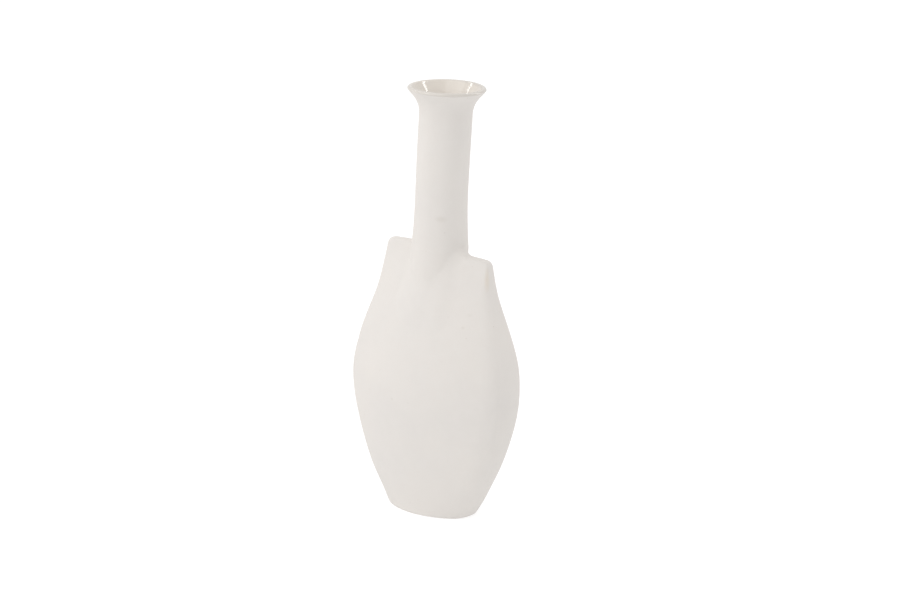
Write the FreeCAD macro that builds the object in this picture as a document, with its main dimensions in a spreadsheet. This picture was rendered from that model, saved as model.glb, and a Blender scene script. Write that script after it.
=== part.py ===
import FreeCAD, Part

import math
import os

import Sketcher

# Ceramic bud vase, in millimetres. +Z is up, X runs along the wide front face, and the front
# faces -Y. The origin is the centre of the foot, on the surface that the vase stands on.
#
# The body is a loft through level sections. A section is a rounded rectangle made of arcs: two broad
# faces, two narrow sides, and four ridges between them. Its sizes are the height of the section, the
# half width at the middle of a side, the half depth at the middle of a face, the half thickness at
# which face and side would meet, and the radius that rounds this ridge. The floor and the roof end
# the hollow inside, and the other sections of the hollow are the outer ones moved in by the wall.
SECTION_SIZES = ("height", "width", "depth", "edge", "ridge")
SECTIONS = {
    "foot": (0, 28.5, 19.5, 10, 6),
    "lower": (20, 41, 24, 10, 6),
    "waist": (50, 53, 28.5, 11.5, 7),
    "belly": (84, 58, 30, 11.5, 7),
    "shoulder": (112, 52, 24.5, 9.5, 6),
    "upper": (136, 43.5, 15, 5.5, 3.5),
    "crest": (160.5, 39.5, 5, 2.8, 2),
    "floor": (5.5, 26.5, 16.5, 6, 2),
    "roof": (138, 28, 10.5, 2.2, 1.5),
}
OUTSIDE = ("foot", "lower", "waist", "belly", "shoulder", "upper", "crest")
CAVITY = ("floor", "lower", "waist", "belly", "shoulder", "roof")
SIZES = {
    # Body. The side bulge is the rise of a side's arc over its half thickness.
    "side_bulge": 0.18,
    "wall": 4,
    "wing_corner": 5,
    "wing_reach": 39.8,
    "crest_round": 2,
    "foot_round": 2.5,
    "foot_ring": 5.5,
    "recess_depth": 1.5,
    # Collar between the wings, and the spigot on it that the neck's socket fits over.
    "root_bottom": 122,
    "root_radius": 17.2,
    "root_round": 3,
    "joint_height": 165,
    "joint_radius": 17,
    "spigot_radius": 14,
    "spigot_length": 6,
    "slip": 0.4,
    # Neck and bore. The flare's slope is measured from upright.
    "neck_foot": 190,
    "neck_radius": 15.7,
    "bore_radius": 12,
    "bore_bottom": 126,
    "rim_height": 260,
    "rim_radius": 23,
    "lip_thickness": 2.4,
    "flare_radius": 17,
    "funnel_radius": 20,
    "flare_angle": 41,
    "glaze": 0.4,
}
# How far a cutting outline reaches past the solid that it cuts.
OVERSHOOT = 5

# Names for the numbers that Sketcher gives to points and axes.
START, END, CENTRE = 1, 2, 3
ORIGIN = (-1, 1)
H_AXIS, V_AXIS = -1, -2


class Size:
    """A size from the sheet, or a sum made from sizes: its number now, and its expression."""

    def __init__(self, number, text):
        self.number = number
        self.text = text

    def __add__(self, other):
        return combine(self, "+", other, self.number + number_of(other))

    def __sub__(self, other):
        return combine(self, "-", other, self.number - number_of(other))

    def __mul__(self, other):
        return combine(self, "*", other, self.number * number_of(other))

    def __truediv__(self, other):
        return combine(self, "/", other, self.number / number_of(other))


ZERO = Size(0.0, "0")


def number_of(value):
    return value.number if isinstance(value, Size) else value


def combine(left, sign, right, number):
    right_text = right.text if isinstance(right, Size) else str(right)
    return Size(number, f"({left.text} {sign} {right_text})")


def make_sheet(doc):
    """Give every driving size a named cell."""
    sheet = doc.addObject("Spreadsheet::Sheet", "Sizes")
    cells = dict(SIZES)
    for section, values in SECTIONS.items():
        for name, value in zip(SECTION_SIZES, values):
            cells[f"{section}_{name}"] = value
    for row, (name, value) in enumerate(cells.items(), start=1):
        sheet.set(f"A{row}", name)
        sheet.set(f"B{row}", str(value))
        sheet.setAlias(f"B{row}", name)
    doc.recompute()
    return sheet


def size(sheet, name):
    return Size(float(getattr(sheet, name)), f"{sheet.Name}.{name}")


# Sketches.


def new_sketch(body, name, role, height=None):
    """Attach an empty sketch to one of its body's own origin planes, raised by a height."""
    plane = next(feature for feature in body.Origin.OriginFeatures if feature.Role == role)
    sketch = body.newObject("Sketcher::SketchObject", name)
    sketch.AttachmentSupport = (plane, [""])
    sketch.MapMode = "FlatFace"
    if height is not None:
        sketch.setExpression("AttachmentOffset.Base.z", height.text)
    return sketch


def add_arc(sketch, centre, radius, start_degrees, end_degrees):
    """Add an arc that runs anticlockwise between two angles, and return its index."""
    circle = Part.Circle(FreeCAD.Vector(*centre, 0), FreeCAD.Vector(0, 0, 1), radius)
    start, end = math.radians(start_degrees), math.radians(end_degrees)
    return sketch.addGeometry(Part.ArcOfCircle(circle, start, end), False)


def add_line(sketch, start, end):
    line = Part.LineSegment(FreeCAD.Vector(*start, 0), FreeCAD.Vector(*end, 0))
    return sketch.addGeometry(line, False)


def point_of(sketch, index, place):
    point = sketch.getPoint(index, place)
    return point.x, point.y


def tie(sketch, kind, *arguments):
    """Add a constraint, and bind its value to the sheet if its last argument is a Size."""
    *where, last = arguments
    index = sketch.addConstraint(Sketcher.Constraint(kind, *where, number_of(last)))
    if isinstance(last, Size):
        sketch.setExpression(f"Constraints[{index}]", last.text)


def tie_point(sketch, index, place, x, y):
    """Fix a point's distances from the origin."""
    tie(sketch, "DistanceX", *ORIGIN, index, place, x)
    tie(sketch, "DistanceY", *ORIGIN, index, place, y)


def join(sketch, kind, indexes):
    """Tie the end of each edge to the start of the next."""
    for index, following in zip(indexes, indexes[1:]):
        tie(sketch, kind, index, END, following, START)


def section_radii(sheet, section, inset):
    """Work out a section's radii, moved in by the inset, and how far their centres are from 0."""
    half_width = size(sheet, f"{section}_width")
    half_depth = size(sheet, f"{section}_depth")
    edge = size(sheet, f"{section}_edge")
    bulge = size(sheet, "side_bulge")
    rise = half_depth - edge
    reach = half_width - edge * bulge
    face = (reach * reach + rise * rise) / (rise * 2)
    side = edge * (bulge * bulge + 1) / (bulge * 2)
    ridge = size(sheet, f"{section}_ridge")
    return face - inset, face - half_depth, side - inset, side - half_width, ridge - inset


def ridge_place(face, face_offset, side, side_offset, ridge):
    """Find the centre of the ridge arc that touches the face arc and the side arc from inside."""
    to_face, to_side = face - ridge, side - ridge
    apart = math.hypot(side_offset, face_offset)
    along = (to_side ** 2 - to_face ** 2 + apart ** 2) / (2 * apart)
    off = math.sqrt(to_side ** 2 - along ** 2)
    x = (along * side_offset + off * face_offset) / apart - side_offset
    y = (off * side_offset - along * face_offset) / apart
    return x, y


def draw_section(sketch, radii):
    """Draw a rounded rectangle of eight tangent arcs, centred on the origin."""
    face, face_offset, side, side_offset, ridge = (radius.number for radius in radii)
    x, y = ridge_place(face, face_offset, side, side_offset, ridge)
    face_end = math.degrees(math.atan2(y + face_offset, x))
    side_end = math.degrees(math.atan2(y, x + side_offset))
    right = add_arc(sketch, (-side_offset, 0), side, -side_end, side_end)
    first = add_arc(sketch, (x, y), ridge, side_end, face_end)
    back = add_arc(sketch, (0, -face_offset), face, face_end, 180 - face_end)
    second = add_arc(sketch, (-x, y), ridge, 180 - face_end, 180 - side_end)
    left = add_arc(sketch, (side_offset, 0), side, 180 - side_end, 180 + side_end)
    third = add_arc(sketch, (-x, -y), ridge, 180 + side_end, 180 + face_end)
    front = add_arc(sketch, (0, face_offset), face, 180 + face_end, 360 - face_end)
    fourth = add_arc(sketch, (x, -y), ridge, 360 - face_end, 360 - side_end)
    join(sketch, "Tangent", [right, first, back, second, left, third, front, fourth, right])

    face, face_offset, side, side_offset, ridge = radii
    for index, axis in ((right, H_AXIS), (left, H_AXIS), (back, V_AXIS), (front, V_AXIS)):
        tie(sketch, "PointOnObject", index, CENTRE, axis)
    for index, twin in ((right, left), (back, front), (first, second), (first, third), (first, fourth)):
        tie(sketch, "Equal", index, twin)
    for index, radius in ((right, side), (back, face), (first, ridge)):
        tie(sketch, "Radius", index, radius)
    tie(sketch, "DistanceX", right, CENTRE, *ORIGIN, side_offset)
    tie(sketch, "DistanceX", *ORIGIN, left, CENTRE, side_offset)
    tie(sketch, "DistanceY", back, CENTRE, *ORIGIN, face_offset)
    tie(sketch, "DistanceY", *ORIGIN, front, CENTRE, face_offset)


def section_sketch(body, sheet, section, name, inset=ZERO, raised=ZERO):
    """Make one level section as a sketch of the body."""
    height = size(sheet, f"{section}_height") + raised
    sketch = new_sketch(body, name, "XY_Plane", height)
    draw_section(sketch, section_radii(sheet, section, inset))
    return sketch


def cavity_sketches(body, sheet, prefix, coat):
    """Make the sections of the hollow inside the walls, less a coat on every side."""
    wall = size(sheet, "wall")
    sketches = [section_sketch(body, sheet, "floor", f"{prefix}Floor", coat, coat)]
    for section in CAVITY[1:-1]:
        sketches.append(section_sketch(body, sheet, section, f"{prefix}{section.title()}", wall + coat))
    sketches.append(section_sketch(body, sheet, "roof", f"{prefix}Roof", coat, ZERO - coat))
    return sketches


def circle_sketch(body, name, height, radius):
    sketch = new_sketch(body, name, "XY_Plane", height)
    circle = Part.Circle(FreeCAD.Vector(0, 0, 0), FreeCAD.Vector(0, 0, 1), radius.number)
    index = sketch.addGeometry(circle, False)
    tie(sketch, "Coincident", index, CENTRE, *ORIGIN)
    tie(sketch, "Radius", index, radius)
    return sketch


def draw_outline(sketch, corners):
    """Draw a closed outline of straight lines through corners given as pairs of Sizes."""
    points = [(x.number, y.number) for x, y in corners]
    lines = [add_line(sketch, start, end) for start, end in zip(points, points[1:] + points[:1])]
    join(sketch, "Coincident", lines + lines[:1])
    for line, corner in zip(lines, corners):
        tie_point(sketch, line, START, *corner)


def draw_wing_corner(sketch, sheet):
    """Draw what is cut off outside the rounded top corner of a wing, as seen from the front."""
    crest = size(sheet, "crest_height")
    radius = size(sheet, "wing_corner")
    reach = size(sheet, "wing_reach")
    inner, low = reach - radius, crest - radius
    arc = add_arc(sketch, (inner.number, low.number), radius.number, 0, 90)
    corners = [(inner, crest), (inner, crest + OVERSHOOT), (reach + OVERSHOOT, crest + OVERSHOOT),
               (reach + OVERSHOOT, low), (reach, low)]
    points = [(x.number, y.number) for x, y in corners]
    lines = [add_line(sketch, start, end) for start, end in zip(points, points[1:])]
    join(sketch, "Coincident", [arc] + lines + [arc])
    for line, corner in zip(lines[1:], corners[1:-1]):
        tie_point(sketch, line, START, *corner)
    tie_point(sketch, arc, CENTRE, inner, low)
    tie(sketch, "Radius", arc, radius)
    tie(sketch, "Vertical", lines[0])
    tie(sketch, "Horizontal", lines[-1])


def draw_lip(sketch, sheet, coat, start_degrees):
    """Draw the lip's round edge, grown by a coat, from an angle round to where the funnel begins."""
    radius = size(sheet, "lip_thickness") / 2
    across = size(sheet, "rim_radius") - size(sheet, "glaze") - radius
    up = size(sheet, "rim_height") - size(sheet, "glaze") - radius
    end_degrees = 180 - size(sheet, "flare_angle").number
    lip = add_arc(sketch, (across.number, up.number), (radius + coat).number, start_degrees, end_degrees)
    tie_point(sketch, lip, CENTRE, across, up)
    tie(sketch, "Radius", lip, radius + coat)
    return lip


def draw_flare(sketch, sheet, lip, lip_end, wall, radius, wall_bottom):
    """Draw from an end of the lip down a slope and round a bend into an upright wall.

    Returns the wall's line, which ends at the bottom.
    """
    angle = size(sheet, "flare_angle")
    slope = math.radians(angle.number)
    touch_x, touch_y = point_of(sketch, lip, lip_end)
    bend_x = (wall + radius).number
    bend_y = touch_y + ((bend_x - touch_x) * math.cos(slope) - radius.number) / math.sin(slope)
    slope_x = bend_x - radius.number * math.cos(slope)
    slope_y = bend_y + radius.number * math.sin(slope)
    line = add_line(sketch, (slope_x, slope_y), (touch_x, touch_y))
    bend = add_arc(sketch, (bend_x, bend_y), radius.number, 180 - angle.number, 180)
    upright = add_line(sketch, (wall.number, bend_y), (wall.number, wall_bottom.number))
    tie(sketch, "Tangent", line, END, lip, lip_end)
    tie(sketch, "Tangent", line, START, bend, START)
    tie(sketch, "Tangent", bend, END, upright, START)
    tie(sketch, "Angle", line, Size(math.pi / 2 - slope, f"(90 - {angle.text}) * 1 deg"))
    tie(sketch, "Radius", bend, radius)
    tie_point(sketch, upright, END, wall, wall_bottom)
    return upright


def join_corners(sketch, first, last, corners):
    """Close an outline with straight lines through corners, from one line's end to another's."""
    between = [(x.number, y.number) for x, y in corners]
    points = [point_of(sketch, first, END), *between, point_of(sketch, last, END)]
    lines = [add_line(sketch, start, end) for start, end in zip(points, points[1:])]
    join(sketch, "Coincident", [first] + lines)
    tie(sketch, "Coincident", lines[-1], END, last, END)
    for line, corner in zip(lines, corners):
        tie_point(sketch, line, END, *corner)


# Features.


def add_loft(body, kind, name, sketches):
    loft = body.newObject(f"PartDesign::{kind}", name)
    loft.Profile = (sketches[0], [""])
    loft.Sections = [(sketch, [""]) for sketch in sketches[1:]]


def add_revolution(body, name, sketch):
    """Turn a half section, drawn in the XZ plane, once round the vase's axis."""
    revolution = body.newObject("PartDesign::Revolution", name)
    revolution.Profile = (sketch, [""])
    revolution.ReferenceAxis = (sketch, ["V_Axis"])
    revolution.Angle = 360


def add_pad(body, name, sketch, height):
    pad = body.newObject("PartDesign::Pad", name)
    pad.Profile = (sketch, [""])
    pad.setExpression("Length", height.text)


def add_pocket(body, name, sketch, depth, upwards=False):
    """Cut a sketch into the body, downwards unless told otherwise, and check that it did cut."""
    body.Document.recompute()
    before = body.Shape.Volume
    pocket = body.newObject("PartDesign::Pocket", name)
    pocket.Profile = (sketch, [""])
    pocket.setExpression("Length", depth.text)
    pocket.Reversed = upwards
    body.Document.recompute()
    if body.Shape.Volume >= before:
        raise RuntimeError(f"{name} cuts nothing")


def add_fillet(body, name, radius, chosen):
    """Round the edges of the body's last feature for which chosen(edge, shape) is true."""
    body.Document.recompute()
    base = body.Tip
    shape = base.Shape
    names = [f"Edge{index}" for index, edge in enumerate(shape.Edges, start=1) if chosen(edge, shape)]
    fillet = body.newObject("PartDesign::Fillet", name)
    fillet.Base = (base, names)
    fillet.setExpression("Radius", radius.text)


def is_on_foot(edge, shape):
    return edge.BoundBox.ZMax < 0.01


def is_along_crest(height):
    """Make a test for edges above a height that don't run straight from front to back."""
    def test(edge, shape):
        crosswise = abs(edge.tangentAt(edge.FirstParameter).y) > 0.9
        return edge.BoundBox.ZMin > height and not crosswise
    return test


def joins_collar(sheet):
    """Make a test for edges where the round collar meets a wing or a face of the body."""
    crest = size(sheet, "crest_height").number
    bottom = size(sheet, "root_bottom").number
    reach = size(sheet, "root_radius").number + 0.01

    def test(edge, shape):
        if not (bottom < edge.BoundBox.ZMin and edge.BoundBox.ZMax < crest + 0.01):
            return False
        if any(math.hypot(vertex.X, vertex.Y) > reach for vertex in edge.Vertexes):
            return False
        faces = shape.ancestorsOfType(edge, Part.Face)
        return sorted(isinstance(face.Surface, Part.Cylinder) for face in faces) == [False, True]
    return test


# Pieces of the vase.


def make_body_casting(doc, sheet):
    """Cast the belly with its wings, add the collar and spigot for the neck, and hollow it."""
    body = doc.addObject("PartDesign::Body", "body_casting")
    outside = [section_sketch(body, sheet, name, f"Outside{name.title()}") for name in OUTSIDE]
    add_loft(body, "AdditiveLoft", "Outside", outside)
    corner = new_sketch(body, "WingCornerOutline", "XZ_Plane")
    draw_wing_corner(corner, sheet)
    doc.recompute()
    cut = body.newObject("PartDesign::Pocket", "RightWingCorner")
    cut.Profile = (corner, [""])
    cut.Type = "ThroughAll"
    cut.Midplane = True
    mirrored = body.newObject("PartDesign::Mirrored", "LeftWingCorner")
    mirrored.Originals = [cut]
    mirrored.MirrorPlane = (corner, ["V_Axis"])
    body.Tip = mirrored

    crest = size(sheet, "crest_height")
    side_top = (crest - size(sheet, "wing_corner")).number
    add_fillet(body, "CrestRound", size(sheet, "crest_round"), is_along_crest(side_top + 0.5))
    add_fillet(body, "FootRound", size(sheet, "foot_round"), is_on_foot)

    joint = size(sheet, "joint_height")
    spigot_top = joint + size(sheet, "spigot_length")
    collar = new_sketch(body, "CollarOutline", "XZ_Plane")
    draw_outline(collar, [
        (ZERO, size(sheet, "root_bottom")),
        (size(sheet, "root_radius"), size(sheet, "root_bottom")),
        (size(sheet, "root_radius"), crest),
        (size(sheet, "joint_radius"), joint),
        (size(sheet, "spigot_radius"), joint),
        (size(sheet, "spigot_radius"), spigot_top),
        (ZERO, spigot_top),
    ])
    add_revolution(body, "Collar", collar)
    add_fillet(body, "RootRound", size(sheet, "root_round"), joins_collar(sheet))

    add_loft(body, "SubtractiveLoft", "Cavity", cavity_sketches(body, sheet, "Cavity", ZERO))
    bore = circle_sketch(body, "BoreCircle", spigot_top, size(sheet, "bore_radius"))
    add_pocket(body, "Bore", bore, spigot_top - size(sheet, "bore_bottom"))
    recess = section_sketch(body, sheet, "foot", "RecessOutline", size(sheet, "foot_ring"))
    add_pocket(body, "FootRecess", recess, size(sheet, "recess_depth"), upwards=True)
    return body


def make_neck_casting(doc, sheet):
    """Cast the tube with its flared lip, and the socket that fits over the spigot."""
    body = doc.addObject("PartDesign::Body", "neck_casting")
    outline = new_sketch(body, "NeckOutline", "XZ_Plane")
    slip = size(sheet, "slip")
    bottom = size(sheet, "joint_height") + slip
    socket_top = bottom + size(sheet, "spigot_length")
    socket = size(sheet, "spigot_radius") + slip
    lip = draw_lip(outline, sheet, ZERO, -size(sheet, "flare_angle").number)
    outer = draw_flare(outline, sheet, lip, START, size(sheet, "neck_radius"),
                       size(sheet, "flare_radius"), size(sheet, "neck_foot"))
    inner = draw_flare(outline, sheet, lip, END, size(sheet, "bore_radius"),
                       size(sheet, "funnel_radius"), socket_top)
    join_corners(outline, outer, inner, [
        (size(sheet, "joint_radius"), bottom),
        (socket, bottom),
        (socket, socket_top),
    ])
    add_revolution(body, "Neck", outline)
    return body


def make_luting_slip(doc, sheet):
    """Fill the joint: a ring under the neck, a sleeve round the spigot and a ring on its end."""
    body = doc.addObject("PartDesign::Body", "luting_slip")
    outline = new_sketch(body, "SlipOutline", "XZ_Plane")
    slip = size(sheet, "slip")
    joint = size(sheet, "joint_height")
    spigot_top = joint + size(sheet, "spigot_length")
    spigot = size(sheet, "spigot_radius")
    draw_outline(outline, [
        (spigot, joint),
        (size(sheet, "joint_radius"), joint),
        (size(sheet, "joint_radius"), joint + slip),
        (spigot + slip, joint + slip),
        (spigot + slip, spigot_top + slip),
        (size(sheet, "bore_radius"), spigot_top + slip),
        (size(sheet, "bore_radius"), spigot_top),
        (spigot, spigot_top),
    ])
    add_revolution(body, "Slip", outline)
    return body


def make_lining_glaze(doc, sheet):
    """Coat the cavity, the bore, the funnel and the lip's edge with one thin skin."""
    body = doc.addObject("PartDesign::Body", "lining_glaze")
    glaze = size(sheet, "glaze")
    joint = size(sheet, "joint_height")
    bore = size(sheet, "bore_radius")
    bore_bottom = size(sheet, "bore_bottom")
    funnel = size(sheet, "funnel_radius")
    add_loft(body, "AdditiveLoft", "BellyFill", cavity_sketches(body, sheet, "Fill", ZERO))
    add_pad(body, "BoreFill", circle_sketch(body, "BoreFillCircle", bore_bottom, bore), joint - bore_bottom)

    outline = new_sketch(body, "FunnelOutline", "XZ_Plane")
    under = draw_lip(outline, sheet, ZERO, 0)
    over = draw_lip(outline, sheet, glaze, 0)
    edge = add_line(outline, point_of(outline, under, START), point_of(outline, over, START))
    tie(outline, "Coincident", edge, START, under, START)
    tie(outline, "Coincident", edge, END, over, START)
    tie(outline, "Horizontal", edge)
    tie(outline, "Horizontal", under, CENTRE, under, START)
    against = draw_flare(outline, sheet, under, END, bore, funnel, joint)
    inside = draw_flare(outline, sheet, over, END, bore - glaze, funnel + glaze, joint)
    join_corners(outline, against, inside, [])
    add_revolution(body, "Funnel", outline)

    add_loft(body, "SubtractiveLoft", "BellySpace", cavity_sketches(body, sheet, "Space", glaze))
    space = circle_sketch(body, "BoreSpaceCircle", joint, bore - glaze)
    add_pocket(body, "BoreSpace", space, joint - bore_bottom)
    return body


def check(doc, pieces):
    """Stop if any object has failed, or if a piece isn't one sound solid."""
    for thing in doc.Objects:
        if "Invalid" in thing.State or "Error" in thing.State:
            raise RuntimeError(f"{thing.Name} failed: {thing.State}")
    for piece in pieces:
        shape = piece.Shape
        if shape.isNull() or not shape.isValid() or len(shape.Solids) != 1:
            raise RuntimeError(f"{piece.Label} isn't one sound solid")


def main():
    doc = FreeCAD.newDocument("bud_vase")
    sheet = make_sheet(doc)
    makers = (make_body_casting, make_neck_casting, make_luting_slip, make_lining_glaze)
    pieces = [make(doc, sheet) for make in makers]
    doc.recompute()
    check(doc, pieces)
    os.makedirs("parts", exist_ok=True)
    for piece in pieces:
        piece.Shape.exportStep(f"parts/{piece.Label}.step")
        print(piece.Label, round(piece.Shape.Volume), "mm3", piece.Shape.optimalBoundingBox())


main()
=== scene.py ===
"""Ceramic bud vase: the visible surfaces, their materials, and a plain studio.

The bisque body and neck, the slip between them and the glaze lining are rebuilt as fine meshes, close
to the CAD model's sizes, with the soft, sponged junctions and the slight unevenness of a hand-finished
casting. Shapes are worked out in millimetres, and turned into metres when a mesh is made. X runs along
the wide front face, the front faces -Y, and Z is up.
"""
import math

import bpy
import numpy as np
from mathutils import Matrix, Vector


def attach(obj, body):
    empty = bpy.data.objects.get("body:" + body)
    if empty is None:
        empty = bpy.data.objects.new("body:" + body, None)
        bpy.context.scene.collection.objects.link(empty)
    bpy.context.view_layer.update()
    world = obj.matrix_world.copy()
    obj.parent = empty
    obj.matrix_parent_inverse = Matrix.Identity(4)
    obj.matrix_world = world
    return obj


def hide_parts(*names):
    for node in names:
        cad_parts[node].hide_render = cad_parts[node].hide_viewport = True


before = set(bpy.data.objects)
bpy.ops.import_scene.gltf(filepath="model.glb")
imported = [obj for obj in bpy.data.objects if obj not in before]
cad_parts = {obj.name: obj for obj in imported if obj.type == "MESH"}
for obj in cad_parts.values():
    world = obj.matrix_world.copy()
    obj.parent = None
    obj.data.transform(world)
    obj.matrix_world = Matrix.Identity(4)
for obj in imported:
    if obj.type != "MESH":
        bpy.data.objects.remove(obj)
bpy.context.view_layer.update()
MM = 0.001

# Level sections. Each is a rounded rectangle of arcs, two wide ones for its faces and two narrow ones
# for its sides. Columns: height, half width, half depth, half depth at which a side's arc ends.
# SIDE_BULGE is the rise of that arc over its half depth.
OUTSIDE = np.array([
    (0.0, 28.7, 20.4, 10.2),
    (20.0, 41.2, 24.0, 10.6),
    (50.0, 53.5, 28.5, 12.1),
    (84.0, 58.0, 29.8, 13.6),
    (112.0, 52.2, 24.8, 10.6),
    (136.0, 43.7, 16.0, 6.4),
    (150.0, 40.5, 10.6, 4.6),
    (160.5, 39.2, 5.0, 2.8),
])
HOLLOW = np.array([
    (5.5, 26.5, 16.5, 6.0),
    (20.0, 37.0, 20.0, 7.5),
    (50.0, 49.0, 24.5, 9.0),
    (84.0, 54.0, 26.0, 9.0),
    (112.0, 48.0, 20.5, 7.0),
    (138.0, 28.0, 10.5, 2.2),
])
SIDE_BULGE = 0.22

# A pair of heights or places, here and below, is where smooth_step goes from 0 to 1.

# Roundings that would be radii on square edges. The blunt ridges and foot take less than their radius.
RIDGE = 3.2
RIDGE_AT_CREST = 1.5
RIDGE_TO_CREST = (106, 158)
RIDGE_AT_FOOT = 2.0
RIDGE_TO_FOOT = (20, 0)
HOLLOW_RIDGE = 0.85
WING_CORNER = 4.0
FOOT_ROUND = 0.8
RECESS_CORNER = 1.0

# The crest of the wings, which stands higher on the left and rises towards the neck there.
CREST = 160.5
CREST_RISE = 3.8
CREST_TILT = 0.04
CREST_SIDES = (18, -22)

# The foot ring round its recess. Steps down the recess's wall: how far it moves in, and its height.
FOOT_RING = (5.5, 5.5, 3.5)
RECESS_STEPS = ((-0.5, -1.0), (0, -0.01), (0.15, 0.35), (0.5, 0.9), (1.1, 1.3), (2.0, 1.5))

# The joint of body and neck.
JOINT = 165.0
SLIP = 0.4
SPIGOT_RADIUS = 14.0
SPIGOT_LENGTH = 6.0
SPIGOT_TOP = JOINT + SPIGOT_LENGTH
SPIGOT_CHAMFER = 0.5

# The neck, which widens down to its root, and the fillet between root and body.
NECK_RADIUS = 15.7
NECK_FOOT = 195.0
ROOT_RADIUS = 17.0
ROOT_DEEPEST = 17.2
ROOT_CURVE = 1.8
TUBE_BOTTOM = 100.0
FILLET = 2.4
FILLET_MORE_RIGHT = 3.1
RIGHT_OF_NECK = (6, 16)
FILLET_MORE_BELOW = 8.0
BELOW_CREST = (CREST - 5, CREST - 36)

# The bore, the hollow's roof, and the lip, which are the same in the castings and the glaze on them.
BORE_RADIUS = 12.0
BORE_BOTTOM = 126.0
ROOF = 136.0
ROOF_RISE = 2.2
LIP_CENTRE = (21.4, 258.4)
LIP_RADIUS = 1.2
FLARE_RADIUS = 17.0
FUNNEL_RADIUS = 20.0
FLARE_ANGLE = math.radians(41)
GLAZE = 0.4
GLAZE_END = math.radians(18)
GLAZE_EDGE = 0.04
GLAZE_EDGE_ROWS = 9

# Unevenness. Belly, foot and neck drift a little to the right and back, the top of the neck is a
# little wider, and the rim dips. SHRINK is how far the mean surface lies inside its true shape.
DRIFT_ANGLE = math.radians(39.0)
DRIFT_WAY = math.cos(DRIFT_ANGLE), math.sin(DRIFT_ANGLE)
BELLY_DRIFT = 0.6
BELLY_DRIFT_START = (80, 100)
BELLY_DRIFT_END = (148, 124)
FOOT_DRIFT = 0.85
FOOT_DRIFT_END = (24, 6)
NECK_DRIFT = 1.05
NECK_DRIFT_START = (195, 258)
TOP_WIDER = 0.022
TOP_WIDER_START = (175, 235)
RIM_DIP = 0.12
RIM_WARP = 0.1
RIM_WARP_PHASE = 0.8
RIM_DIP_START = (246, 258)
SHRINK = 0.13
EVEN_NEAR_FOOT = (0, 10)
EVEN_NEAR_LIP = (254, 244)
TRUE_NEAR_LIP = (256, 246)

# Meshes: the grid that the body's surface is found on, and how many points go round the turned pieces.
GRID_LOW = (-60, -32, -2)
GRID_HIGH = (60, 32, 170)
GRID_STEP = 0.86
AROUND_NECK = 256
AROUND_HOLLOW = 192
AROUND_RECESS = 144

# The camera, with its distance in metres.
CAMERA_AZIMUTH = math.radians(39.0)
CAMERA_ELEVATION = math.radians(14.63)
CAMERA_DISTANCE = 2.0722
CAMERA_ROLL = math.radians(1.89)
CAMERA_LENS = 138.4
CAMERA_SHIFT = (0.01313, -0.0007)
TARGET = Vector((0, 0, 0.130))

# Soft lights: name, azimuth from the front and elevation in degrees, distance, width and height in
# metres, and radiance. The two narrow ones make the streaks in the funnel.
SOFTBOXES = [
    ("key", -7, 60, 2.4, 2.2, 1.8, 1.07),
    ("front", -24, 33, 2.6, 2.2, 1.05, 1.17),
    ("left_strip", -76, 34, 2.4, 0.17, 2.3, 6.0),
    ("right_strip", 152, 38, 2.4, 0.21, 2.0, 7.0),
]
SKY = (1.0, 0.995, 0.985, 1)
SKY_STRENGTH = 0.805
FLOOR_REACH = 9000  # millimetres
FLOOR_ALBEDO = 0.44
FLOOR_GLOW = 0.64

# Colours.
BISQUE_COOL = (0.660, 0.632, 0.607, 1)
BISQUE_WARM = (0.680, 0.648, 0.617, 1)
BISQUE_PALE = (0.695, 0.668, 0.643, 1)
BISQUE_GRAIN = (0.60, 0.56, 0.52, 1)
BISQUE_DOTS = (0.42, 0.36, 0.30, 1)
# painted shade: the warm darkening down the right wing's edge
EDGE_SHADE = (0.66, 0.585, 0.50, 1)
SMUDGE = (0.56, 0.52, 0.47, 1)
GLAZE_DEEP = (0.66, 0.614, 0.56, 1)
GLAZE_PALE = (0.695, 0.648, 0.594, 1)
GLAZE_LIP = (0.60, 0.565, 0.525, 1)

# Marks on the bisque: place and reach in millimetres. One is painted shade, a warm darkening down the
# right wing's edge where the ridge's edge shading falls, and the others are faint handling marks.
EDGE_SHADE_SPOT = (39.9, -4.0, 153.0)
EDGE_SHADE_REACH = (2.2, 2.4, 13.0)
EDGE_SHADE_STRENGTH = 0.55
SMUDGE_STRENGTH = 0.28
SMUDGES = [
    ((10.1, -12.2, 183.0), (4.6, 4.6, 2.4)),
    ((22.0, -18.0, 126.5), (1.1, 2.0, 1.0)),
    ((34.5, -13.5, 129.0), (2.6, 3.0, 1.6)),
    ((32.0, -16.0, 121.5), (1.4, 2.5, 1.2)),
    ((-9.0, -29.0, 72.0), (1.6, 2.5, 1.2)),
]


# Fields: signed distances, in millimetres, that are negative inside.


def spline(knots, values):
    """Make the natural cubic spline through the values, which goes on straight past its ends."""
    step = np.diff(knots)
    count = len(knots)
    matrix = np.eye(count)
    target = np.zeros(count)
    slope = np.diff(values) / step
    for i in range(1, count - 1):
        matrix[i, i - 1:i + 2] = step[i - 1], 2 * (step[i - 1] + step[i]), step[i]
        target[i] = 6 * (slope[i] - slope[i - 1])
    bend = np.linalg.solve(matrix, target)

    def at(z):
        inside = np.clip(z, knots[0], knots[-1])
        i = np.clip(np.searchsorted(knots, inside) - 1, 0, count - 2)
        before, after, gap = inside - knots[i], knots[i + 1] - inside, step[i]
        curve = (bend[i] * after ** 3 + bend[i + 1] * before ** 3) / (6 * gap)
        curve += (values[i] / gap - bend[i] * gap / 6) * after
        curve += (values[i + 1] / gap - bend[i + 1] * gap / 6) * before
        first = slope[0] - bend[1] * step[0] / 6
        last = slope[-1] + bend[-2] * step[-1] / 6
        return curve + (z - inside) * np.where(z < knots[0], first, last)
    return at


def splines(table):
    return [spline(table[:, 0], table[:, column]) for column in range(1, 4)]


outside_size = splines(OUTSIDE)
hollow_size = splines(HOLLOW)


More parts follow.
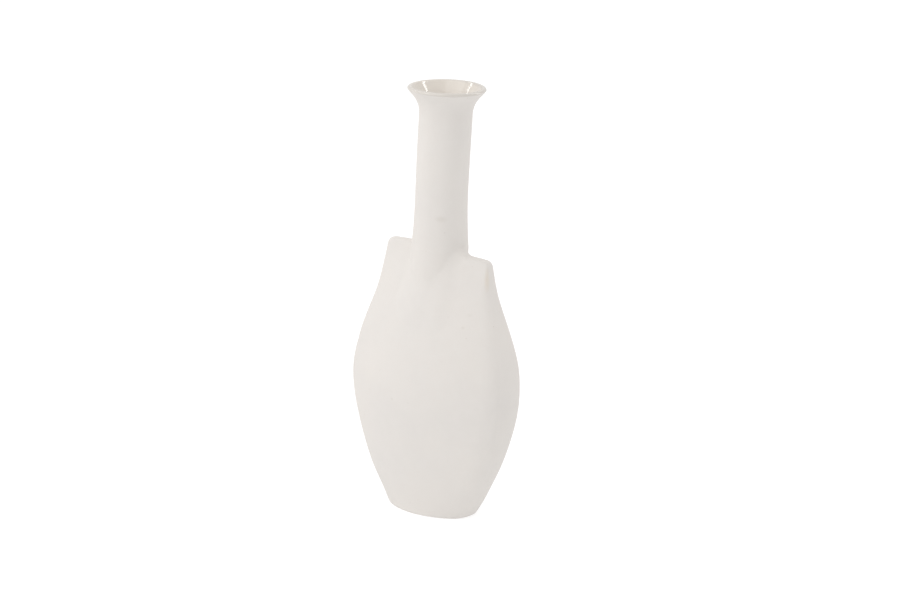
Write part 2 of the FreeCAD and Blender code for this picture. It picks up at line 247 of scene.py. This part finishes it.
def round_and(a, b, radius):
    """Intersect two fields, with their edge rounded."""
    both = np.hypot(np.maximum(a + radius, 0), np.maximum(b + radius, 0))
    return np.minimum(np.maximum(a, b), -radius) + both


def round_or(a, b, radius):
    """Join two fields, with the corner between them filled."""
    both = np.hypot(np.maximum(radius - a, 0), np.maximum(radius - b, 0))
    return np.maximum(np.minimum(a, b), radius) - both


def smooth_step(low, high, value):
    t = np.clip((value - low) / (high - low), 0, 1)
    return t * t * (3 - 2 * t)


def face_and_side(x, y, width, depth, edge):
    """Fields of a section's wide arc and of its narrow one."""
    rise = depth - edge
    reach = width - SIDE_BULGE * edge
    face_radius = (reach ** 2 + rise ** 2) / (2 * rise)
    face = np.hypot(x, np.abs(y) + face_radius - depth) - face_radius
    side = (np.abs(x) - width + SIDE_BULGE * y ** 2 / edge) / np.hypot(1, 2 * SIDE_BULGE * y / edge)
    return face, side


def body_field(p):
    """The body without its neck: sections, crest with rounded wing corners, and foot."""
    z = p[:, 2]
    aside = BELLY_DRIFT * smooth_step(*BELLY_DRIFT_START, z) * smooth_step(*BELLY_DRIFT_END, z)
    aside += FOOT_DRIFT * smooth_step(*FOOT_DRIFT_END, z)
    x = p[:, 0] - aside * DRIFT_WAY[0]
    y = p[:, 1] - aside * DRIFT_WAY[1]
    width, depth, edge = (value(z) for value in outside_size)
    face, side = face_and_side(x, y, width, depth, edge)
    crest = z - CREST - (CREST_RISE + CREST_TILT * x) * smooth_step(*CREST_SIDES, x)
    outline = round_and(side, crest, WING_CORNER)
    ridge = RIDGE + (RIDGE_AT_CREST - RIDGE) * smooth_step(*RIDGE_TO_CREST, z)
    ridge += (RIDGE_AT_FOOT - RIDGE) * smooth_step(*RIDGE_TO_FOOT, z)
    return round_and(round_and(face, outline, ridge), -z, FOOT_ROUND)


def neck_radius(z):
    """Outer radius of the tube, which widens a little into its root."""
    down = np.maximum((NECK_FOOT - z) / (NECK_FOOT - JOINT), 0)
    return np.minimum(NECK_RADIUS + (ROOT_RADIUS - NECK_RADIUS) * down ** ROOT_CURVE, ROOT_DEEPEST)


def outer_field(p):
    """The body and the root of its neck, with the soft junction between them."""
    z = p[:, 2]
    tube = np.maximum(np.hypot(p[:, 0], p[:, 1]) - neck_radius(z), TUBE_BOTTOM - z)
    fillet = FILLET + FILLET_MORE_RIGHT * smooth_step(*RIGHT_OF_NECK, p[:, 0])
    fillet += FILLET_MORE_BELOW * smooth_step(*BELOW_CREST, z) * smooth_step(TUBE_BOTTOM, BORE_BOTTOM, z)
    return round_or(body_field(p), tube, fillet)


class Waves:
    """A slight, seeded unevenness: slow waves that cross the object in fixed directions."""

    def __init__(self, seed, wavelength, height, count=9):
        random = np.random.default_rng(seed)
        direction = random.normal(size=(count, 3))
        direction /= np.linalg.norm(direction, axis=1)[:, None]
        length = wavelength * random.uniform(0.7, 1.5, count)
        self.direction = direction * (2 * math.pi / length)[:, None]
        self.phase = random.uniform(0, 2 * math.pi, count)
        self.height = height / math.sqrt(count / 2)

    def __call__(self, p):
        return self.height * np.sin(p @ self.direction.T + self.phase).sum(axis=1)


slow_waves = Waves(3, 46.0, 0.06)
small_waves = Waves(5, 14.0, 0.015)


def uneven(p):
    """How far the surface lies inside its true shape, which it keeps to near the foot and the lip."""
    fade = smooth_step(*EVEN_NEAR_FOOT, p[:, 2]) * smooth_step(*EVEN_NEAR_LIP, p[:, 2])
    return SHRINK + (slow_waves(p) + small_waves(p)) * fade


def lean(p):
    """Lean and widen the top of the neck a little, and let the rim dip and rise slightly."""
    p = p.copy()
    p[:, :2] *= 1 + TOP_WIDER * smooth_step(*TOP_WIDER_START, p[:, 2])[:, None]
    p[:, :2] += smooth_step(*NECK_DRIFT_START, p[:, 2])[:, None] * NECK_DRIFT * np.array(DRIFT_WAY)
    turn = np.arctan2(p[:, 1], p[:, 0])
    p[:, 2] -= smooth_step(*RIM_DIP_START, p[:, 2]) * (RIM_DIP + RIM_WARP * np.sin(2 * turn + RIM_WARP_PHASE))
    return p


# Meshes.


def mesh_of(name, points, faces):
    mesh = bpy.data.meshes.new(name)
    mesh.from_pydata((np.asarray(points) * MM).tolist(), [], [tuple(face) for face in faces])
    mesh.validate()
    mesh.update()
    return mesh


def new_object(name, mesh):
    piece = bpy.data.objects.new(name, mesh)
    bpy.context.scene.collection.objects.link(piece)
    return piece


def gradient(field, p, step=0.02):
    return np.stack([(field(p + s) - field(p - s)) / (2 * step) for s in np.eye(3) * step], axis=1)


def settle(field, p, rounds):
    """Move points along the field's slope on to the surface where it is zero."""
    for _ in range(rounds):
        slope = gradient(field, p)
        size = np.maximum((slope ** 2).sum(axis=1), 0.1)
        step = (field(p) / size)[:, None] * slope
        length = np.linalg.norm(step, axis=1)[:, None]
        p = p - step * np.minimum(1, 0.8 / np.maximum(length, 1e-9))
    return p


def spread(p, faces):
    """Move each point half way to the mean of its neighbours."""
    ends = np.concatenate([faces, np.roll(faces, 1, axis=1)]).ravel()
    others = np.concatenate([np.roll(faces, 1, axis=1), faces]).ravel()
    count = np.bincount(ends, minlength=len(p))
    total = [np.bincount(ends, weights=p[others, axis], minlength=len(p)) for axis in range(3)]
    total = np.stack(total, axis=1)
    return (p + total / count[:, None]) / 2


def surface_net(field, low, high, step):
    """Mesh the surface where a field is zero, with one point in each grid cell that it crosses."""
    axes = [np.arange(a, b + step, step) for a, b in zip(low, high)]
    grid = np.stack(np.meshgrid(*axes, indexing="ij"), axis=-1)
    inside = (field(grid.reshape(-1, 3)) < 0).reshape(grid.shape[:3])
    x, y, z = (len(axis) - 1 for axis in axes)
    corners = np.zeros((x, y, z), dtype=int)
    for i, j, k in np.ndindex(2, 2, 2):
        corners += inside[i:x + i, j:y + j, k:z + k]
    crossed = (corners > 0) & (corners < 8)
    number = np.cumsum(crossed).reshape(crossed.shape) - 1
    points = (np.argwhere(crossed) + 0.5) * step + np.array(low)
    faces = []
    for axis, flipped in ((0, False), (1, True), (2, False)):
        solid = np.moveaxis(inside, axis, 0)
        cell = np.moveaxis(number, axis, 0)
        i, j, k = (np.argwhere(solid[1:, 1:-1, 1:-1] != solid[:-1, 1:-1, 1:-1]) + (0, 1, 1)).T
        quads = np.stack([cell[i, j - 1, k - 1], cell[i, j, k - 1], cell[i, j, k], cell[i, j - 1, k]], 1)
        turned_round = solid[i, j, k] == flipped
        quads[turned_round] = quads[turned_round][:, ::-1]
        faces.append(quads)
    return points, np.concatenate(faces)


def stack_rings(rings, looped=False):
    """Join equal rings of points, one after the other, into a closed skin."""
    count = len(rings[0])
    points = np.concatenate(rings)
    rows = len(rings) if looped else len(rings) - 1
    row = (np.arange(rows) * count)[:, None]
    after = ((np.arange(rows) + 1) % len(rings) * count)[:, None]
    i = np.arange(count)
    j = (i + 1) % count
    quads = np.stack([row + i, row + j, after + j, after + i], axis=-1).reshape(-1, 4).tolist()
    if not looped:
        quads += [list(range(count))[::-1], list(range(len(points) - count, len(points)))]
    return points, quads


def ring(radius, height, count):
    """A level ring of points. The radius may be one number, or one for each point."""
    angle = np.arange(count) * 2 * math.pi / count
    return np.stack([radius * np.cos(angle), radius * np.sin(angle), np.full(count, height)], axis=1)


def turned(profile, count):
    """Turn a profile of (radius, height) points once round the axis."""
    return [ring(radius, height, count) for radius, height in profile]


def section_ring(size, ridge, inset, count):
    """How far a section reaches from its centre, in equal turns, with the edge moved in."""
    angle = np.arange(count) * 2 * math.pi / count
    near, far = np.zeros(count), np.full(count, 80.0)
    for _ in range(40):
        middle = (near + far) / 2
        face, side = face_and_side(middle * np.cos(angle), middle * np.sin(angle), *size)
        outside = round_and(face, side, ridge) + inset > 0
        near, far = np.where(outside, near, middle), np.where(outside, middle, far)
    return near


def arc(centre, radius, start, end, count):
    angle = np.linspace(start, end, count)
    return list(zip(centre[0] + radius * np.cos(angle), centre[1] + radius * np.sin(angle)))


def between(start, end, count):
    """Points on a straight line between two ends, without the ends."""
    start, end = np.array(start), np.array(end)
    return [tuple(start + (end - start) * t) for t in np.linspace(0, 1, count + 2)[1:-1]]


def flare(wall, radius, touch):
    """Points up an upright wall's bend and slope, to where they touch the lip."""
    bend_x = wall + radius
    bend_y = touch[1] + ((bend_x - touch[0]) * math.cos(FLARE_ANGLE) - radius) / math.sin(FLARE_ANGLE)
    bend = arc((bend_x, bend_y), radius, math.pi, math.pi - FLARE_ANGLE, 22)
    return bend + between(bend[-1], touch, 6)


def boolean(piece, name, rings, operation):
    """Add or cut the solid inside a stack of rings."""
    other = new_object(name, mesh_of(name, *stack_rings(rings)))
    modifier = piece.modifiers.new(operation.lower(), "BOOLEAN")
    modifier.operation = operation
    modifier.solver = "EXACT"
    modifier.object = other
    graph = bpy.context.evaluated_depsgraph_get()
    mesh = bpy.data.meshes.new_from_object(piece.evaluated_get(graph))
    old = piece.data
    piece.modifiers.clear()
    piece.data = mesh
    bpy.data.meshes.remove(old)
    bpy.data.objects.remove(other)


def smooth(piece, sharp_degrees=40):
    mesh = piece.data
    mesh.polygons.foreach_set("use_smooth", [True] * len(mesh.polygons))
    mesh.set_sharp_from_angle(angle=math.radians(sharp_degrees))


def hollow_rings(count):
    """Rings up the inside of the belly, over its roof and into the bore."""
    def reach(z):
        return section_ring([float(value(z)) for value in hollow_size], HOLLOW_RIDGE, 0, count)

    floor = HOLLOW[0, 0]
    rings = [ring(reach(floor) * part, floor, count) for part in (0.1, 0.3, 0.5, 0.7, 0.85, 0.95)]
    for z in np.linspace(floor, ROOF, 56):
        least = BORE_RADIUS if z > BORE_BOTTOM else 0
        rings.append(ring(np.maximum(reach(z), least), z, count))
    wide = np.maximum(reach(ROOF), BORE_RADIUS)
    for step in np.linspace(0, math.pi / 2, 8)[1:]:
        radius = BORE_RADIUS + (wide - BORE_RADIUS) * math.cos(step)
        rings.append(ring(radius, ROOF + ROOF_RISE * math.sin(step), count))
    return rings


# Pieces.


def build_body():
    def field(p):
        return outer_field(p) + uneven(p)

    points, faces = surface_net(field, GRID_LOW, GRID_HIGH, GRID_STEP)
    points = settle(field, points, 6)
    for _ in range(4):
        points = settle(field, spread(points, faces), 2)
    piece = new_object("vase_body", mesh_of("vase_body", points, faces))

    # the top is cut level at the joint, and carries the spigot
    boolean(piece, "lid", turned([(40, JOINT), (40, JOINT + 20)], 64), "DIFFERENCE")
    profile = [(SPIGOT_RADIUS, JOINT - 8), (SPIGOT_RADIUS, SPIGOT_TOP - SPIGOT_CHAMFER),
               (SPIGOT_RADIUS - SPIGOT_CHAMFER, SPIGOT_TOP)]
    boolean(piece, "spigot", turned(profile, AROUND_HOLLOW), "UNION")
    bore = turned([(BORE_RADIUS, z) for z in (150, JOINT, SPIGOT_TOP + 3)], AROUND_HOLLOW)
    boolean(piece, "hollow", hollow_rings(AROUND_HOLLOW) + bore, "DIFFERENCE")

    foot = OUTSIDE[0, 1:4] - FOOT_RING
    rings = []
    for inset, z in RECESS_STEPS:
        rings.append(ring(section_ring(foot, RECESS_CORNER, inset, AROUND_RECESS), z, AROUND_RECESS))
    boolean(piece, "recess", rings, "DIFFERENCE")
    smooth(piece)
    return piece


def lip_end(angle):
    return LIP_CENTRE[0] + LIP_RADIUS * math.cos(angle), LIP_CENTRE[1] + LIP_RADIUS * math.sin(angle)


def press_in(ring_points, fade=1.0):
    """Move a ring of the outer surface in to its uneven shape."""
    inwards = uneven(ring_points) * fade
    ring_points[:, :2] *= (1 - inwards / np.hypot(ring_points[:, 0], ring_points[:, 1]))[:, None]


def build_neck():
    bottom = JOINT + SLIP
    socket = SPIGOT_RADIUS + SLIP
    socket_top = bottom + SPIGOT_LENGTH
    outer_flare = flare(NECK_RADIUS, FLARE_RADIUS, lip_end(-FLARE_ANGLE))
    inner_flare = flare(BORE_RADIUS, FUNNEL_RADIUS, lip_end(math.pi - FLARE_ANGLE))
    heights = np.linspace(bottom, outer_flare[0][1], 78)[:-1]
    profile = [(float(neck_radius(z)), z) for z in heights] + outer_flare
    outer = len(profile)
    profile += arc(LIP_CENTRE, LIP_RADIUS, -FLARE_ANGLE, math.pi - FLARE_ANGLE, 26)
    profile += inner_flare[::-1]
    profile += between(inner_flare[0], (BORE_RADIUS, socket_top), 34)
    profile += [(BORE_RADIUS, socket_top), (socket, socket_top), (socket, bottom + 3), (socket, bottom)]
    rings = turned(profile, AROUND_NECK)
    for outer_ring in rings[:outer]:
        press_in(outer_ring, float(smooth_step(*TRUE_NEAR_LIP, outer_ring[0, 2])))
    points, faces = stack_rings(rings, looped=True)
    piece = new_object("vase_neck", mesh_of("vase_neck", lean(points), faces))
    smooth(piece)
    return piece


def build_slip():
    """The thin slip ring between collar and neck, sponged flush on the outside."""
    inner = SPIGOT_RADIUS + SLIP
    profile = [(float(neck_radius(z)), z) for z in np.linspace(JOINT, JOINT + SLIP, 4)]
    outer = len(profile)
    profile += [(inner, JOINT + SLIP), (inner, SPIGOT_TOP + SLIP), (BORE_RADIUS, SPIGOT_TOP + SLIP),
                (BORE_RADIUS, SPIGOT_TOP), (SPIGOT_RADIUS - SPIGOT_CHAMFER, SPIGOT_TOP),
                (SPIGOT_RADIUS, SPIGOT_TOP - SPIGOT_CHAMFER), (SPIGOT_RADIUS, JOINT)]
    rings = turned(profile, AROUND_NECK)
    for outer_ring in rings[:outer]:
        press_in(outer_ring)
    points, faces = stack_rings(rings, looped=True)
    piece = new_object("vase_slip", mesh_of("vase_slip", points, faces))
    smooth(piece)
    return piece


def build_lining():
    """The glaze: a thin skin up the hollow, bore and funnel and over the lip, thinning at its edge."""
    rings = hollow_rings(AROUND_NECK)
    inner_flare = flare(BORE_RADIUS, FUNNEL_RADIUS, lip_end(math.pi - FLARE_ANGLE))
    profile = between((BORE_RADIUS, rings[-1][0, 2]), inner_flare[0], 30) + inner_flare[:-1]
    profile += arc(LIP_CENTRE, LIP_RADIUS, math.pi - FLARE_ANGLE, -GLAZE_END, 34)
    rings += turned(profile, AROUND_NECK)
    grid = np.stack(rings)
    along = np.gradient(grid, axis=0)
    around = np.roll(grid, -1, axis=1) - np.roll(grid, 1, axis=1)
    inwards = np.cross(along, around)
    inwards /= np.linalg.norm(inwards, axis=2)[..., None]
    thickness = np.full(len(rings), GLAZE)
    thickness[-GLAZE_EDGE_ROWS:] -= (GLAZE - GLAZE_EDGE) * np.linspace(0, 1, GLAZE_EDGE_ROWS) ** 2
    inside = grid + inwards * thickness[:, None, None]
    points, faces = stack_rings(list(grid) + list(inside[::-1]))
    piece = new_object("vase_lining", mesh_of("vase_lining", lean(points), faces))
    smooth(piece)
    return piece


PIECES = [
    (build_body, "body_casting", "bisque"),
    (build_neck, "neck_casting", "bisque"),
    (build_slip, "luting_slip", "slip"),
    (build_lining, "lining_glaze", "glaze"),
]


# Materials.


class Nodes:
    """A short way to add and link shader nodes."""

    def __init__(self, material):
        material.use_nodes = True
        self.tree = material.node_tree
        self.shader = self.tree.nodes["Principled BSDF"]

    def add(self, kind, inputs=(), **settings):
        node = self.tree.nodes.new(kind)
        for name, value in settings.items():
            setattr(node, name, value)
        for key, value in dict(inputs).items():
            if isinstance(value, bpy.types.NodeSocket):
                self.tree.links.new(value, node.inputs[key])
            else:
                node.inputs[key].default_value = value
        return node

    def noise(self, place, scale, detail=2.0, roughness=0.5):
        inputs = {"Vector": place, "Scale": scale, "Detail": detail, "Roughness": roughness}
        return self.add("ShaderNodeTexNoise", inputs).outputs["Fac"]

    def ramp(self, value, low, high, from_low, from_high):
        inputs = {"Value": value, "From Min": from_low, "From Max": from_high, "To Min": low, "To Max": high}
        return self.add("ShaderNodeMapRange", inputs).outputs["Result"]

    def maths(self, operation, a, b):
        return self.add("ShaderNodeMath", {0: a, 1: b}, operation=operation).outputs[0]

    def vector_maths(self, operation, *inputs):
        return self.add("ShaderNodeVectorMath", enumerate(inputs), operation=operation)

    def near(self, place, spot, reach, strength):
        """A soft patch round a spot, with its own reach along each axis, in millimetres."""
        offset = self.vector_maths("SUBTRACT", place, tuple(c * MM for c in spot))
        scaled = self.vector_maths("MULTIPLY", offset.outputs["Vector"], tuple(1 / (r * MM) for r in reach))
        away = self.vector_maths("LENGTH", scaled.outputs["Vector"])
        return self.ramp(away.outputs["Value"], strength, 0, 0.3, 1.0)

    def mix(self, factor, a, b):
        return self.add("ShaderNodeMix", {0: factor, 6: a, 7: b}, data_type="RGBA").outputs[2]

    def set(self, name, value):
        if isinstance(value, bpy.types.NodeSocket):
            self.tree.links.new(value, self.shader.inputs[name])
        else:
            self.shader.inputs[name].default_value = value


def make_bisque():
    material = bpy.data.materials.new("bisque")
    n = Nodes(material)
    place = n.add("ShaderNodeTexCoord").outputs["Object"]
    drift = n.noise(place, 22.0, 3.0)
    mottle = n.noise(place, 160.0, 4.0, 0.6)
    grain = n.noise(place, 1900.0, 3.0, 0.65)
    colour = n.mix(n.ramp(drift, 0, 1, 0.35, 0.65), BISQUE_COOL, BISQUE_WARM)
    colour = n.mix(n.ramp(mottle, 0, 0.35, 0.4, 0.75), colour, BISQUE_PALE)
    colour = n.mix(n.ramp(grain, 0.10, 0, 0.3, 0.5), colour, BISQUE_GRAIN)
    dots = n.add("ShaderNodeTexVoronoi", {"Vector": place, "Scale": 120.0}).outputs["Distance"]
    colour = n.mix(n.ramp(dots, 0.35, 0, 0.015, 0.05), colour, BISQUE_DOTS)
    # painted shade down the right wing's edge, with a warm tint
    colour = n.mix(n.near(place, EDGE_SHADE_SPOT, EDGE_SHADE_REACH, EDGE_SHADE_STRENGTH), colour, EDGE_SHADE)
    for spot, reach in SMUDGES:
        colour = n.mix(n.near(place, spot, reach, SMUDGE_STRENGTH), colour, SMUDGE)
    n.set("Base Color", colour)
    n.set("Roughness", n.ramp(mottle, 0.78, 0.92, 0.3, 0.7))
    n.set("Specular IOR Level", 0.35)
    height = n.maths("ADD", n.maths("MULTIPLY", grain, 0.35), mottle)
    bump = n.add("ShaderNodeBump", {"Height": height, "Strength": 0.5, "Distance": 0.00012})
    n.set("Normal", bump.outputs["Normal"])
    return material


def make_glaze():
    material = bpy.data.materials.new("glaze")
    n = Nodes(material)
    place = n.add("ShaderNodeTexCoord").outputs["Object"]
    drift = n.noise(place, 60.0, 3.0)
    colour = n.mix(drift, GLAZE_DEEP, GLAZE_PALE)
    level = n.vector_maths("MULTIPLY", place, (1, 1, 0)).outputs["Vector"]
    radius = n.vector_maths("LENGTH", level).outputs["Value"]
    n.set("Base Color", n.mix(n.ramp(radius, 0, 1, 0.0206, 0.0216), colour, GLAZE_LIP))
    n.set("Roughness", n.ramp(drift, 0.05, 0.10, 0.3, 0.7))
    n.set("IOR", 1.52)
    ripple = n.noise(place, 220.0, 1.0)
    bump = n.add("ShaderNodeBump", {"Height": ripple, "Strength": 0.3, "Distance": 0.00004})
    n.set("Normal", bump.outputs["Normal"])
    return material


def make_floor_paint():
    material = bpy.data.materials.new("floor")
    n = Nodes(material)
    n.set("Base Color", (FLOOR_ALBEDO, FLOOR_ALBEDO, FLOOR_ALBEDO, 1))
    n.set("Roughness", 0.9)
    n.set("Specular IOR Level", 0.2)
    n.set("Emission Color", (1, 1, 1, 1))
    n.set("Emission Strength", FLOOR_GLOW)
    return material


bisque = make_bisque()
materials = {"bisque": bisque, "slip": bisque, "glaze": make_glaze()}
for build, node, slot in PIECES:
    piece = build()
    piece.data.materials.clear()
    piece.data.materials.append(materials[slot])
    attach(piece, "root")
    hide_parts(node)

# Studio.


def direction_of(azimuth, elevation):
    """The way from the object to something at an azimuth, from the front, and an elevation."""
    flat = math.cos(elevation)
    return Vector((math.sin(azimuth) * flat, -math.cos(azimuth) * flat, math.sin(elevation)))


def make_camera():
    data = bpy.data.cameras.new("camera")
    data.lens = CAMERA_LENS
    data.sensor_width = 36
    data.shift_x, data.shift_y = CAMERA_SHIFT
    data.clip_end = 100
    camera = bpy.data.objects.new("camera", data)
    bpy.context.scene.collection.objects.link(camera)
    back = direction_of(CAMERA_AZIMUTH, CAMERA_ELEVATION)
    right = Vector((math.cos(CAMERA_AZIMUTH), math.sin(CAMERA_AZIMUTH), 0))
    up = back.cross(right)
    c, s = math.cos(CAMERA_ROLL), math.sin(CAMERA_ROLL)
    turn = Matrix((right * c + up * s, up * c - right * s, back)).transposed().to_4x4()
    camera.matrix_world = Matrix.Translation(TARGET + back * CAMERA_DISTANCE) @ turn
    bpy.context.scene.camera = camera


def make_softbox(name, azimuth, elevation, distance, width, height, radiance):
    data = bpy.data.lights.new(name, "AREA")
    data.shape = "RECTANGLE"
    data.size, data.size_y = width, height
    data.energy = radiance * math.pi * width * height
    light = bpy.data.objects.new(name, data)
    bpy.context.scene.collection.objects.link(light)
    way = direction_of(math.radians(azimuth), math.radians(elevation))
    light.location = TARGET + way * distance
    light.rotation_mode = "QUATERNION"
    light.rotation_quaternion = (-way).to_track_quat("-Z", "Y")


make_camera()
for softbox in SOFTBOXES:
    make_softbox(*softbox)

world = bpy.data.worlds.new("world")
bpy.context.scene.world = world
world.use_nodes = True
background = world.node_tree.nodes["Background"]
background.inputs["Color"].default_value = SKY
background.inputs["Strength"].default_value = SKY_STRENGTH
bpy.context.scene.view_settings.view_transform = "Standard"

corners = [(FLOOR_REACH * x, FLOOR_REACH * y, 0) for x, y in ((-1, -1), (1, -1), (1, 1), (-1, 1))]
floor = new_object("floor", mesh_of("floor", corners, [(0, 1, 2, 3)]))
floor.data.materials.append(make_floor_paint())
